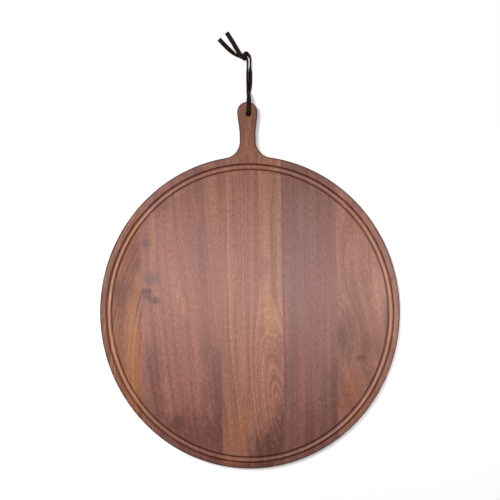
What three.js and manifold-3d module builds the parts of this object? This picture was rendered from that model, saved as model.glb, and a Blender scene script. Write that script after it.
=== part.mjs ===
// Round bread board with a handle, a juice groove and a leather hanging lace.
// Five walnut staves are glued edge to edge, cut to one outline, grooved and drilled as one panel.
// A flat leather lace runs through the hole in the handle, and its two ends share an overhand knot.
// Millimetres, +Z up. The board lies on Z = 0, its disc centred on the Z axis, and its handle points to +Y.
import * as THREE from 'three';
import { mergeVertices } from 'three/addons/utils/BufferGeometryUtils.js';
import Module from 'manifold-3d';

const wasm = await Module();
wasm.setup();

// Panel
const DISC_WIDTH = 500;
const DISC_LENGTH = 521;
const BOARD_THICKNESS = 18;
const EDGE_ROUND = 2.5;

// Staves, from the left. The outer two reach from their seam to the rim.
const LEFT_INNER_WIDTH = 133;
const CENTRE_LEFT_OF_AXIS = 48;
const CENTRE_RIGHT_OF_AXIS = 55;
const RIGHT_INNER_WIDTH = 90;
const GLUE_LINE = 0.1;

// Juice groove, a cove that follows the rim
const GROOVE_WIDTH = 11;
const GROOVE_DEPTH = 4;
const GROOVE_INSET_SIDES = 15.1;
const GROOVE_INSET_ENDS = 16.4;
const GROOVE_SHIFT = -1.5;

// Handle
const HANDLE_LENGTH = 90.5;
const HEAD_WIDTH = 33.6;
const NECK_WIDTH = 26.6;
const HEAD_TAPER = 38;
const FILLET_RADIUS = 28;
const RELIEF_SETBACK = 62;
const RELIEF_RAMP = 22;

// Hole for the lace
const HOLE_X = 2;
const HOLE_SETBACK = 20;
const HOLE_CLEARANCE = 1.2;
const HOLE_EASING = 1.5;

// Lace: a flat thong, its bend over the hole's rim and its knot
const LACE_WIDTH = 7.5;
const LACE_THICKNESS = 2.6;
const LACE_CORNER = 0.5;
const LACE_BEND = 4;
const LACE_CLEARANCE = 0.3;
const KNOT_LENGTH = 15;
const KNOT_WIDTH = 12;
const KNOT_HEIGHT = 9.8;
const KNOT_TURN = 73;

// How the loop lies on the table beyond the handle: where it folds, and where its knot is
const FOLD_REACH = 41;
const KNOT_REACH = 78;
const KNOT_X = -2.8;

// How far the lace's wide face is turned about its run: on edge, or leaning on the other strand
const EDGE_TILT = 88;
const LEAN_TILT = 46;

// How finely the round shapes are cut into facets
const RIM_STEPS = 120;
const FILLET_STEPS = 7;
const TAPER_STEPS = 6;
const HEAD_STEPS = 8;
const ROUND_STEPS = 2;
const GROOVE_STEPS = 112;
const COVE_STEPS = 14;
const HOLE_STEPS = 24;
const BEND_STEPS = 5;
const KNOT_STEPS = 12;
const LACE_STEP = 3;

// Places that follow from the sizes above
const RIM_X = DISC_WIDTH / 2;
const RIM_Y = DISC_LENGTH / 2;
const HANDLE_END = RIM_Y + HANDLE_LENGTH;
const HOLE_Y = HANDLE_END - HOLE_SETBACK;
const HOLE_RADIUS = (LACE_WIDTH + HOLE_CLEARANCE) / 2;
const RELIEF_DEPTH = LACE_THICKNESS + 2 * LACE_CLEARANCE;
const LACE_FRONT_Z = BOARD_THICKNESS + LACE_CLEARANCE + LACE_THICKNESS / 2;
const LACE_FLAT_Z = LACE_CLEARANCE + LACE_THICKNESS / 2;
const LACE_EDGE_Z = LACE_CLEARANCE + LACE_WIDTH / 2;
const LACE_START_Y = HOLE_Y + LACE_BEND;
const FOLD_Y = HANDLE_END + FOLD_REACH;
const KNOT_Y = HANDLE_END + KNOT_REACH;
const OVERCUT = 5;

const degrees = THREE.MathUtils.degToRad;

// Turns a closed geometry into a solid that can be joined and cut.
function solidOf(geometry) {
  const bare = geometry.clone();
  bare.deleteAttribute('normal');
  bare.deleteAttribute('uv');
  const merged = mergeVertices(bare);
  const corners = merged.index.array;
  const kept = [];
  for (let i = 0; i < corners.length; i += 3) {
    const [a, b, c] = corners.slice(i, i + 3);
    if (a !== b && b !== c && c !== a) kept.push(a, b, c);
  }
  return new wasm.Manifold(new wasm.Mesh({
    numProp: 3,
    vertProperties: new Float32Array(merged.attributes.position.array),
    triVerts: new Uint32Array(kept),
  }));
}

// Turns a solid back into a geometry.
function geometryOf(solid) {
  const { vertProperties, triVerts } = solid.getMesh();
  const geometry = new THREE.BufferGeometry();
  geometry.setAttribute('position', new THREE.BufferAttribute(vertProperties, 3));
  geometry.setIndex(new THREE.BufferAttribute(triVerts, 1));
  geometry.computeVertexNormals();
  return geometry;
}

// A point of the disc's oval rim, and the outward direction there.
function rimAt(angle) {
  const point = new THREE.Vector2(RIM_X * Math.cos(angle), RIM_Y * Math.sin(angle));
  const outward = new THREE.Vector2(Math.cos(angle) / RIM_X, Math.sin(angle) / RIM_Y).normalize();
  return { point, outward };
}

// The rim angle where the fillet, tangent to the neck's side, touches the oval.
function filletAngle() {
  const filletX = NECK_WIDTH / 2 + FILLET_RADIUS;
  let low = 0;
  let high = Math.PI / 2;
  for (let i = 0; i < 50; i += 1) {
    const middle = (low + high) / 2;
    const { point, outward } = rimAt(middle);
    if (point.x + FILLET_RADIUS * outward.x > filletX) low = middle;
    else high = middle;
  }
  return (low + high) / 2;
}

// Right side of the handle, from the rim up to the middle of the end.
function handleSide() {
  const points = [];
  const { point, outward } = rimAt(filletAngle());
  const centre = point.clone().addScaledVector(outward, FILLET_RADIUS);
  const from = Math.atan2(-outward.y, -outward.x) + 2 * Math.PI;
  for (let i = 0; i <= FILLET_STEPS; i += 1) {
    const angle = THREE.MathUtils.lerp(from, Math.PI, i / FILLET_STEPS);
    const arm = new THREE.Vector2(Math.cos(angle), Math.sin(angle));
    points.push(centre.clone().addScaledVector(arm, FILLET_RADIUS));
  }
  const headY = HANDLE_END - HEAD_WIDTH / 2;
  for (let i = 0; i < TAPER_STEPS; i += 1) {
    const share = i / TAPER_STEPS;
    const swell = (1 - Math.cos(Math.PI * share)) / 2;
    const x = THREE.MathUtils.lerp(NECK_WIDTH, HEAD_WIDTH, swell) / 2;
    points.push(new THREE.Vector2(x, headY - HEAD_TAPER * (1 - share)));
  }
  for (let i = 0; i <= HEAD_STEPS; i += 1) {
    const angle = Math.PI / 2 * i / HEAD_STEPS;
    const x = i === HEAD_STEPS ? 0 : HEAD_WIDTH / 2 * Math.cos(angle);
    points.push(new THREE.Vector2(x, headY + HEAD_WIDTH / 2 * Math.sin(angle)));
  }
  return points;
}

// The board's whole outline, anticlockwise from the right-hand fillet.
function boardOutline() {
  const right = handleSide();
  const left = right.slice(0, -1).reverse().map((p) => new THREE.Vector2(-p.x, p.y));
  const touch = filletAngle();
  const from = Math.PI - touch;
  const to = 2 * Math.PI + touch;
  const rim = [];
  for (let i = 1; i < RIM_STEPS; i += 1) {
    rim.push(rimAt(THREE.MathUtils.lerp(from, to, i / RIM_STEPS)).point);
  }
  return new THREE.Shape([...right, ...left, ...rim]);
}

// The panel with its edges rounded over, before grooving and drilling.
function panelSolid() {
  const geometry = new THREE.ExtrudeGeometry(boardOutline(), {
    depth: BOARD_THICKNESS - 2 * EDGE_ROUND,
    bevelThickness: EDGE_ROUND,
    bevelSize: EDGE_ROUND,
    bevelOffset: -EDGE_ROUND,
    bevelSegments: ROUND_STEPS,
  });
  geometry.translate(0, 0, EDGE_ROUND);
  return solidOf(geometry);
}

// The ball-nosed cutter's path: a round ring drawn out to the rim's oval.
function grooveSolid() {
  const radius = (GROOVE_WIDTH ** 2 / 4 + GROOVE_DEPTH ** 2) / (2 * GROOVE_DEPTH);
  const middleX = RIM_X - GROOVE_INSET_SIDES;
  const middleY = RIM_Y - GROOVE_INSET_ENDS;
  const profile = [];
  for (let i = 0; i <= COVE_STEPS; i += 1) {
    const angle = 2 * Math.PI * (i % COVE_STEPS) / COVE_STEPS - Math.PI / 2;
    profile.push(new THREE.Vector2(middleX + radius * Math.cos(angle), radius * Math.sin(angle)));
  }
  const ring = new THREE.LatheGeometry(profile, GROOVE_STEPS).rotateX(Math.PI / 2);
  const place = ring.attributes.position;
  for (let i = 0; i < place.count; i += 1) {
    const across = Math.hypot(place.getX(i), place.getY(i));
    const offset = across - middleX;
    place.setX(i, place.getX(i) / across * (middleX + offset));
    place.setY(i, place.getY(i) / across * (middleY + offset));
  }
  ring.translate(0, GROOVE_SHIFT, BOARD_THICKNESS - GROOVE_DEPTH + radius);
  return solidOf(ring);
}

// The hole's bore with both rims eased, standing between the relief and the top face.
function holeSolid() {
  const flare = HOLE_RADIUS + HOLE_EASING + OVERCUT;
  const profile = [
    new THREE.Vector2(0, RELIEF_DEPTH - OVERCUT),
    new THREE.Vector2(flare, RELIEF_DEPTH - OVERCUT),
    new THREE.Vector2(HOLE_RADIUS, RELIEF_DEPTH + HOLE_EASING),
    new THREE.Vector2(HOLE_RADIUS, BOARD_THICKNESS - HOLE_EASING),
    new THREE.Vector2(flare, BOARD_THICKNESS + OVERCUT),
    new THREE.Vector2(0, BOARD_THICKNESS + OVERCUT),
  ];
  const bore = new THREE.LatheGeometry(profile, HOLE_STEPS).rotateX(Math.PI / 2);
  bore.translate(HOLE_X, HOLE_Y, 0);
  return solidOf(bore);
}

// A side view in Y and Z, carried across X from -width / 2 to width / 2.
function acrossBoard(shape, width, steps) {
  const settings = { depth: width, bevelEnabled: false, curveSegments: steps };
  const geometry = new THREE.ExtrudeGeometry(shape, settings);
  geometry.translate(0, 0, -width / 2);
  const alongY = new THREE.Vector3(0, 1, 0);
  const alongZ = new THREE.Vector3(0, 0, 1);
  const alongX = new THREE.Vector3(1, 0, 0);
  return geometry.applyMatrix4(new THREE.Matrix4().makeBasis(alongY, alongZ, alongX));
}

// Finger relief under the handle, which also leaves room for the lace below it.
function reliefSolid() {
  const rampFoot = HANDLE_END - RELIEF_SETBACK;
  const shape = new THREE.Shape([
    new THREE.Vector2(rampFoot, 0),
    new THREE.Vector2(rampFoot, -OVERCUT),
    new THREE.Vector2(HANDLE_END + OVERCUT, -OVERCUT),
    new THREE.Vector2(HANDLE_END + OVERCUT, RELIEF_DEPTH),
    new THREE.Vector2(rampFoot + RELIEF_RAMP, RELIEF_DEPTH),
  ]);
  return solidOf(acrossBoard(shape, HEAD_WIDTH + NECK_WIDTH, 1));
}

// The five staves, cut from the one panel along the seams.
const STAVES = [
  { name: 'stave_left_outer', color: 0xa06a48, width: RIM_X },
  { name: 'stave_left_inner', color: 0x8a5644, width: LEFT_INNER_WIDTH },
  { name: 'stave_centre', color: 0x9c6b52, width: CENTRE_LEFT_OF_AXIS + CENTRE_RIGHT_OF_AXIS },
  { name: 'stave_right_inner', color: 0x805a4c, width: RIGHT_INNER_WIDTH },
  { name: 'stave_right_outer', color: 0x9e6a58, width: RIM_X },
];

function staveMeshes() {
  const panel = panelSolid().subtract(grooveSolid()).subtract(holeSolid()).subtract(reliefSolid());
  const tall = BOARD_THICKNESS + 2 * OVERCUT;
  const long = 2 * HANDLE_END + 2 * OVERCUT;
  let left = -CENTRE_LEFT_OF_AXIS - LEFT_INNER_WIDTH - RIM_X;
  return STAVES.map(({ name, color, width }) => {
    const slice = new THREE.BoxGeometry(width - GLUE_LINE, long, tall);
    slice.translate(left + width / 2, 0, BOARD_THICKNESS / 2);
    left += width;
    const stave = geometryOf(panel.intersect(solidOf(slice)));
    return namedMesh(name, stave, new THREE.MeshStandardMaterial({ color, roughness: 0.55, metalness: 0 }));
  });
}

// A smooth path for the flat lace. Each row of its route is x, y, z and how far the wide face is turned
// about the run there: 0 is level, 90 is on edge.
class LacePath extends THREE.CatmullRomCurve3 {
  constructor(route) {
    super(route.map(([x, y, z]) => new THREE.Vector3(x, y, z)), false, 'centripetal');
    this.tilts = route.map((row) => row[3]);
  }

  tiltAt(share) {
    const place = this.getUtoTmapping(share) * (this.tilts.length - 1);
    const before = Math.min(Math.floor(place), this.tilts.length - 2);
    const turn = THREE.MathUtils.smoothstep(place - before, 0, 1);
    return THREE.MathUtils.lerp(this.tilts[before], this.tilts[before + 1], turn);
  }

  computeFrenetFrames(segments) {
    const frames = { tangents: [], normals: [], binormals: [] };
    for (let i = 0; i <= segments; i += 1) {
      const tangent = this.getTangentAt(i / segments);
      const side = new THREE.Vector3(tangent.y, -tangent.x, 0).normalize();
      const tilt = degrees(this.tiltAt(i / segments));
      const normal = new THREE.Vector3().crossVectors(side, tangent).applyAxisAngle(tangent, tilt);
      frames.tangents.push(tangent);
      frames.normals.push(normal);
      frames.binormals.push(new THREE.Vector3().crossVectors(tangent, normal));
    }
    return frames;
  }
}

// The thong's cross-section: thickness along the path's normal, width across it, corners taken off.
function laceSection() {
  const x = LACE_THICKNESS / 2;
  const y = LACE_WIDTH / 2;
  const c = LACE_CORNER;
  const corners = [
    [x, c - y], [x, y - c], [x - c, y], [c - x, y], [-x, y - c], [-x, c - y], [c - x, -y], [x - c, -y],
  ];
  return new THREE.Shape(corners.map(([px, py]) => new THREE.Vector2(px, py)));
}

// A stretch of lace along its route.
function laceStretch(route) {
  const path = new LacePath(route);
  const steps = Math.ceil(path.getLength() / LACE_STEP);
  return new THREE.ExtrudeGeometry(laceSection(), { steps, extrudePath: path, bevelEnabled: false });
}

// The short length inside the hole, with its bends over the top and bottom rims.
function holeTurn() {
  const inner = LACE_BEND - LACE_THICKNESS / 2;
  const outer = LACE_BEND + LACE_THICKNESS / 2;
  const top = LACE_FRONT_Z - LACE_BEND;
  const bottom = LACE_FLAT_Z + LACE_BEND;
  const shape = new THREE.Shape();
  shape.absarc(LACE_START_Y, top, outer, Math.PI / 2, Math.PI, false);
  shape.absarc(LACE_START_Y, bottom, outer, Math.PI, 1.5 * Math.PI, false);
  shape.absarc(LACE_START_Y, bottom, inner, 1.5 * Math.PI, Math.PI, true);
  shape.absarc(LACE_START_Y, top, inner, Math.PI, Math.PI / 2, true);
  return acrossBoard(shape, LACE_WIDTH, BEND_STEPS).translate(HOLE_X, 0, 0);
}

// The knot's outer shape, a barrel lying on the table; grown by a margin it trims the strands that enter it.
function knotShape(margin) {
  const shares = [[0, -1], [0.62, -1], [0.93, -0.5], [1, 0], [0.93, 0.5], [0.62, 1], [0, 1]];
  const radius = KNOT_WIDTH / 2 + margin;
  const half = KNOT_LENGTH / 2 + margin;
  const profile = shares.map(([across, along]) => new THREE.Vector2(across * radius, along * half));
  const barrel = new THREE.LatheGeometry(profile, KNOT_STEPS);
  barrel.scale(1, 1, (KNOT_HEIGHT / 2 + margin) / radius);
  barrel.rotateZ(degrees(KNOT_TURN - 90));
  return barrel.translate(KNOT_X, KNOT_Y, KNOT_HEIGHT / 2 + LACE_CLEARANCE);
}

// Lace routes. Beyond the handle the front strand comes down on its edge, the back one leans on it, and
// the tails lie flat.
const FRONT_LEG = [
  [HOLE_X, LACE_START_Y + LACE_CLEARANCE, LACE_FRONT_Z, 0],
  [HOLE_X + 0.5, HANDLE_END - 6, LACE_FRONT_Z, 0],
  [HOLE_X + 1.1, HANDLE_END + 2, LACE_FRONT_Z, 5],
  [HOLE_X + 0.9, HANDLE_END + 8.6, LACE_FRONT_Z - 2, 45],
  [HOLE_X + 0.3, HANDLE_END + 13.8, LACE_FRONT_Z - 4.6, 62],
  [HOLE_X - 1.15, HANDLE_END + 19, LACE_EDGE_Z + 8.6, 84],
  [HOLE_X - 1.6, HANDLE_END + 24.3, LACE_EDGE_Z + 5.6, EDGE_TILT],
  [HOLE_X - 1.6, HANDLE_END + 29.6, LACE_EDGE_Z + 2.5, EDGE_TILT],
  [HOLE_X - 1.65, HANDLE_END + 34.7, LACE_EDGE_Z + 0.6, EDGE_TILT],
  [HOLE_X - 1.65, FOLD_Y - 3, LACE_EDGE_Z, EDGE_TILT],
  [HOLE_X - 1.65, FOLD_Y - LACE_CLEARANCE / 2, LACE_EDGE_Z, EDGE_TILT],
];
const BACK_LEG = [
  [HOLE_X, LACE_START_Y + LACE_CLEARANCE, LACE_FLAT_Z, 0],
  [HOLE_X + 0.2, HANDLE_END - 5, LACE_FLAT_Z, 0],
  [HOLE_X + 0.4, HANDLE_END + 1, LACE_FLAT_Z, 0],
  [HOLE_X + 1, HANDLE_END + 9, LACE_FLAT_Z + 2.1, 40],
  [HOLE_X + 1.2, HANDLE_END + 14.2, LACE_EDGE_Z + 0.2, 62],
  [HOLE_X + 2.7, HANDLE_END + 19.6, LACE_EDGE_Z + 0.25, 72],
  [HOLE_X + 3.2, HANDLE_END + 24.7, LACE_EDGE_Z + 0.15, 60],
  [HOLE_X + 3.4, HANDLE_END + 29.8, LACE_EDGE_Z, 50],
  [HOLE_X + 3.6, HANDLE_END + 35, LACE_EDGE_Z - 0.1, LEAN_TILT],
  [HOLE_X + 3.6, FOLD_Y - LACE_CLEARANCE / 2, LACE_EDGE_Z - 0.1, LEAN_TILT],
];
const FRONT_END = [
  [HOLE_X - 1.65, FOLD_Y + LACE_CLEARANCE / 2, LACE_EDGE_Z, EDGE_TILT],
  [HOLE_X - 1.6, FOLD_Y + 5, LACE_EDGE_Z, EDGE_TILT],
  [HOLE_X - 1.4, FOLD_Y + 9, LACE_EDGE_Z, EDGE_TILT],
  [HOLE_X - 0.95, FOLD_Y + 14, LACE_EDGE_Z, EDGE_TILT],
  [HOLE_X - 0.8, FOLD_Y + 19, LACE_EDGE_Z, EDGE_TILT],
  [HOLE_X - 0.75, FOLD_Y + 24, LACE_EDGE_Z, EDGE_TILT],
  [HOLE_X - 0.9, FOLD_Y + 28.5, LACE_EDGE_Z, EDGE_TILT],
  [KNOT_X + 2.3, KNOT_Y - 3, LACE_EDGE_Z, EDGE_TILT],
];
const BACK_END = [
  [HOLE_X + 3.6, FOLD_Y + LACE_CLEARANCE / 2, LACE_EDGE_Z - 0.1, LEAN_TILT],
  [HOLE_X + 3.8, FOLD_Y + 9, LACE_EDGE_Z - 0.1, LEAN_TILT],
  [HOLE_X + 3.8, FOLD_Y + 14, LACE_EDGE_Z + 0.2, 68],
  [HOLE_X + 4.25, FOLD_Y + 19, LACE_EDGE_Z, EDGE_TILT],
  [HOLE_X + 4.25, FOLD_Y + 24, LACE_EDGE_Z, EDGE_TILT],
  [HOLE_X + 4.4, FOLD_Y + 29, LACE_EDGE_Z, EDGE_TILT],
  [HOLE_X + 3.9, FOLD_Y + 34, LACE_EDGE_Z + 0.3, EDGE_TILT],
  [HOLE_X + 2, FOLD_Y + 38.5, LACE_EDGE_Z + 0.6, EDGE_TILT],
  [KNOT_X + 1.8, KNOT_Y + 3, LACE_EDGE_Z + 0.8, EDGE_TILT],
];
const TAIL_UPPER = [
  [KNOT_X - 2, KNOT_Y - 2, LACE_FLAT_Z + 4.2, 0],
  [KNOT_X - 6.4, KNOT_Y - 0.9, LACE_FLAT_Z + 4.1, 0],
  [KNOT_X - 9.1, KNOT_Y + 3.4, LACE_FLAT_Z + 3.8, 0],
  [KNOT_X - 14.3, KNOT_Y + 12.4, LACE_FLAT_Z + 2.7, 0],
  [KNOT_X - 19.5, KNOT_Y + 22.6, LACE_FLAT_Z + 1.3, 0],
  [KNOT_X - 28.9, KNOT_Y + 39.2, LACE_FLAT_Z, 0],
];
const TAIL_LOWER = [
  [KNOT_X - 2, KNOT_Y - 0.2, LACE_FLAT_Z, 0],
  [KNOT_X - 6.9, KNOT_Y - 0.5, LACE_FLAT_Z, 0],
  [KNOT_X - 11.7, KNOT_Y + 0.5, LACE_FLAT_Z, 0],
  [KNOT_X - 21.1, KNOT_Y + 6.5, LACE_FLAT_Z, 0],
  [KNOT_X - 28.2, KNOT_Y + 12.8, LACE_FLAT_Z, 0],
  [KNOT_X - 34.8, KNOT_Y + 19.7, LACE_FLAT_Z, 0],
  [KNOT_X - 43.1, KNOT_Y + 28.6, LACE_FLAT_Z, 0],
];

function laceMeshes() {
  const mouth = solidOf(knotShape(LACE_CLEARANCE));
  const trimmed = (stretch) => geometryOf(solidOf(stretch).subtract(mouth));
  const pieces = {
    lace_hole_turn: holeTurn(),
    lace_front_leg: laceStretch(FRONT_LEG),
    lace_back_leg: laceStretch(BACK_LEG),
    lace_front_end: trimmed(laceStretch(FRONT_END)),
    lace_back_end: trimmed(laceStretch(BACK_END)),
    lace_knot: geometryOf(solidOf(knotShape(0))),
    lace_tail_upper: trimmed(laceStretch(TAIL_UPPER)),
    lace_tail_lower: trimmed(laceStretch(TAIL_LOWER)),
  };
  return Object.entries(pieces).map(([name, geometry]) => {
    const leather = new THREE.MeshStandardMaterial({ color: 0x241712, roughness: 0.7, metalness: 0 });
    return namedMesh(name, geometry, leather);
  });
}

function namedMesh(name, geometry, material) {
  const mesh = new THREE.Mesh(geometry, material);
  mesh.name = name;
  return mesh;
}

const breadBoard = new THREE.Group();
breadBoard.add(...staveMeshes(), ...laceMeshes());

export default breadBoard;
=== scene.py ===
# %% [markdown]
# # A walnut bread board with a leather hanging lace
#
# The board is five walnut staves glued edge to edge, cut to a broad oval with a short
# handle, with a crumb groove run round the face. A dark leather lace goes through a hole
# near the handle's end and is tied in one knot. Everything here is in metres, in the same
# frame as the solids: the board lies on z = 0, and the handle points along +Y.

import math

import bmesh
import bpy
import numpy as np
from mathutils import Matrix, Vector
from mathutils.geometry import delaunay_2d_cdt


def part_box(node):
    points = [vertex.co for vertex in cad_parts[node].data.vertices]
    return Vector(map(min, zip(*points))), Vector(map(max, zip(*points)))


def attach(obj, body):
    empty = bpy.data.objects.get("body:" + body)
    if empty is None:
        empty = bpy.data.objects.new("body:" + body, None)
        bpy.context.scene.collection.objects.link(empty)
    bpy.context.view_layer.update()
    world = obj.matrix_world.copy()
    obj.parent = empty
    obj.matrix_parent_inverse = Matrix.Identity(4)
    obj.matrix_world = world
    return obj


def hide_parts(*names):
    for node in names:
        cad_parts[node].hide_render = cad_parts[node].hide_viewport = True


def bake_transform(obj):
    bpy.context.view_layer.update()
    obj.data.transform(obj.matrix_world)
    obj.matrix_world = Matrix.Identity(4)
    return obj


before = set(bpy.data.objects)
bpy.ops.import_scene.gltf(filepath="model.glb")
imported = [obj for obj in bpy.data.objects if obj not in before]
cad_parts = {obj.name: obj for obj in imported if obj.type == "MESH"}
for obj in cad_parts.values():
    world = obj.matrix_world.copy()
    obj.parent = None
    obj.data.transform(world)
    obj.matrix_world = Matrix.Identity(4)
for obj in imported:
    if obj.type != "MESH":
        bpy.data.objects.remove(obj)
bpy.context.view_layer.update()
MM = 0.001

# %% [markdown]
# ## The camera
#
# The photograph looks straight down on the board, and the board is turned a little in it.
# A camera without perspective would come close, but a photograph is taken through a lens.
# A long lens far above the face keeps the view almost parallel, so the sizes on the face
# follow from one number: how many millimetres of the face one pixel covers.

# %% Camera straight above the face
IMAGE_PIXELS = 500
MM_PER_PIXEL = 1.666
CAMERA_ABOVE_FACE = 3.0
VIEW_CENTRE = (1.5 * MM, 103.8 * MM)
BOARD_ROLL = 0.75
SENSOR_WIDTH = 36.0

face_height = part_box("stave_centre")[1].z
view_width = IMAGE_PIXELS * MM_PER_PIXEL * MM
camera_data = bpy.data.cameras.new("camera")
camera_data.sensor_width = SENSOR_WIDTH
camera_data.lens = SENSOR_WIDTH * CAMERA_ABOVE_FACE / view_width
camera = bpy.data.objects.new("camera", camera_data)
camera.location = (*VIEW_CENTRE, face_height + CAMERA_ABOVE_FACE)
camera.rotation_euler = (0.0, 0.0, math.radians(-BOARD_ROLL))
bpy.context.scene.collection.objects.link(camera)
bpy.context.scene.camera = camera
bpy.context.scene.view_settings.view_transform = "Standard"
print("lens", round(camera_data.lens, 1), "mm, view", round(view_width, 3), "m across")

# %% [markdown]
# ## The leather lace
#
# The lace is one flat strip of leather. It goes up through the hole, both halves run to
# the knot, and the two cut ends lie to the left of it. A curve with a flat bevel would
# twist by itself at the bends, so each half is a rounded section carried along a route,
# and every route point also says which way the strip's width points there.

# %% A smooth line through the points of a route
LACE_WIDTH = 7.5 * MM
LACE_THICKNESS = 2.6 * MM
LACE_STEP = 0.6 * MM


def smooth_route(rows, step):
    """Points and width directions every step along a smooth line through the rows.

    A row is x, y, z and the width's direction. Each span is a cubic whose slope at a
    row is the chord between its two neighbours, measured against the distance walked.
    """
    rows = np.asarray(rows, float)
    spans = np.linalg.norm(np.diff(rows[:, :3], axis=0), axis=1)
    walked = np.concatenate([[0.0], np.cumsum(spans)])
    slopes = np.gradient(rows, walked, axis=0)
    at = np.linspace(0.0, walked[-1], int(round(walked[-1] / step)) + 1)
    span = np.clip(np.searchsorted(walked, at, side="right") - 1, 0, len(spans) - 1)
    length = spans[span][:, None]
    t = ((at - walked[span]) / spans[span])[:, None]
    from_point = (1 + 2 * t) * (1 - t) ** 2 * rows[span]
    from_slope = t * (1 - t) ** 2 * length * slopes[span]
    to_point = t ** 2 * (3 - 2 * t) * rows[span + 1]
    to_slope = t ** 2 * (t - 1) * length * slopes[span + 1]
    line = from_point + from_slope + to_point + to_slope
    return line[:, :3], line[:, 3:]


def unit(vectors):
    """Each vector divided by its own length."""
    return vectors / np.linalg.norm(vectors, axis=-1, keepdims=True)


# %% A closed tube mesh from a grid of rings
def tube_mesh(name, rings):
    """A closed mesh from rings of points: neighbours joined by quads, a fan at each end.

    The UV map runs once round the ring in u and, in metres, along the tube in v.
    """
    count, around, _ = rings.shape
    index = np.arange(count * around).reshape(count, around)
    after = np.roll(index, -1, axis=1)
    sides = np.stack([index[:-1], index[1:], after[1:], after[:-1]], axis=-1).reshape(-1, 4)
    centres = rings[[0, -1]].mean(axis=1)
    first, last = count * around, count * around + 1
    start_fan = np.stack([index[0], after[0], np.full(around, first)], axis=-1)
    end_fan = np.stack([after[-1], index[-1], np.full(around, last)], axis=-1)
    points = np.concatenate([rings.reshape(-1, 3), centres])
    faces = sides.tolist() + start_fan.tolist() + end_fan.tolist()
    mesh = bpy.data.meshes.new(name)
    mesh.from_pydata(points.tolist(), [], faces)
    middle = rings.mean(axis=1)
    along = np.concatenate([[0.0], np.cumsum(np.linalg.norm(np.diff(middle, axis=0), axis=1))])
    u = np.tile(np.arange(around) / around, (count, 1)).ravel()
    v = np.repeat(along, around)
    u = np.concatenate([u, [0.5, 0.5]])
    v = np.concatenate([v, along[[0, -1]]])
    corner_vertex = np.empty(len(mesh.loops), int)
    mesh.loops.foreach_get("vertex_index", corner_vertex)
    uv = np.stack([u[corner_vertex], v[corner_vertex]], axis=-1)
    wraps = np.tile([False, False, True, True], len(sides))
    last_column = np.repeat(sides[:, 0] % around == around - 1, 4)
    uv[:len(wraps), 0] += np.where(wraps & last_column, 1.0, 0.0)
    mesh.uv_layers.new(name="UVMap").data.foreach_set("uv", uv.astype(np.float32).ravel())
    mesh.polygons.foreach_set("use_smooth", np.ones(len(mesh.polygons), bool))
    return mesh


# %% A strip of leather along a route
SECTION_POINTS = 28
SECTION_POWER = 5.0
HOLE_CUP = 1.6 * MM
HOLE_FAR_SIDE = 337.0 * MM


def strip_rings(rows):
    """Rings of a flat strip: a superellipse section turned to each point's width.

    The width is made square to the run by taking away its part along the run, and the
    thickness points along width x run. In the round hole the strip is cupped: its middle
    is moved by HOLE_CUP x (how upright the run is) squared, falling off to the edges.
    """
    points, width_hint = smooth_route(rows, LACE_STEP)
    run = unit(np.gradient(points, axis=0))
    width = unit(width_hint - (width_hint * run).sum(1, keepdims=True) * run)
    thick = np.cross(width, run)
    angle = np.linspace(0.0, 2.0 * np.pi, SECTION_POINTS, endpoint=False)
    power = 2.0 / SECTION_POWER
    share = np.sign(np.cos(angle)) * np.abs(np.cos(angle)) ** power
    across = 0.5 * LACE_WIDTH * share
    flat = 0.5 * LACE_THICKNESS * np.sign(np.sin(angle)) * np.abs(np.sin(angle)) ** power
    in_hole = (points[:, 1] < HOLE_FAR_SIDE) * run[:, 2] ** 2
    up = flat[None, :] + HOLE_CUP * in_hole[:, None] * (1.0 - share[None, :] ** 2)
    rings = (points[:, None, :] + width[:, None, :] * across[None, :, None]
             + thick[:, None, :] * up[:, :, None])
    return points, rings


# %% [markdown]
# ### The two halves' routes
#
# The rows below follow the route of the solids, in millimetres, with the knot's turns
# added. The last three numbers of a row are the way the width points: FLAT is across the
# board, where the strip lies flat. Beyond the handle the front strand stands on its EDGE
# and the back one leans against it, as LEAN says.

# %% Route of the front half, in millimetres
FLAT = (1.0, 0.0, 0.0)
EDGE = (0.19, 0.0, -0.98)
LEAN = (0.69, 0.0, -0.72)

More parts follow.
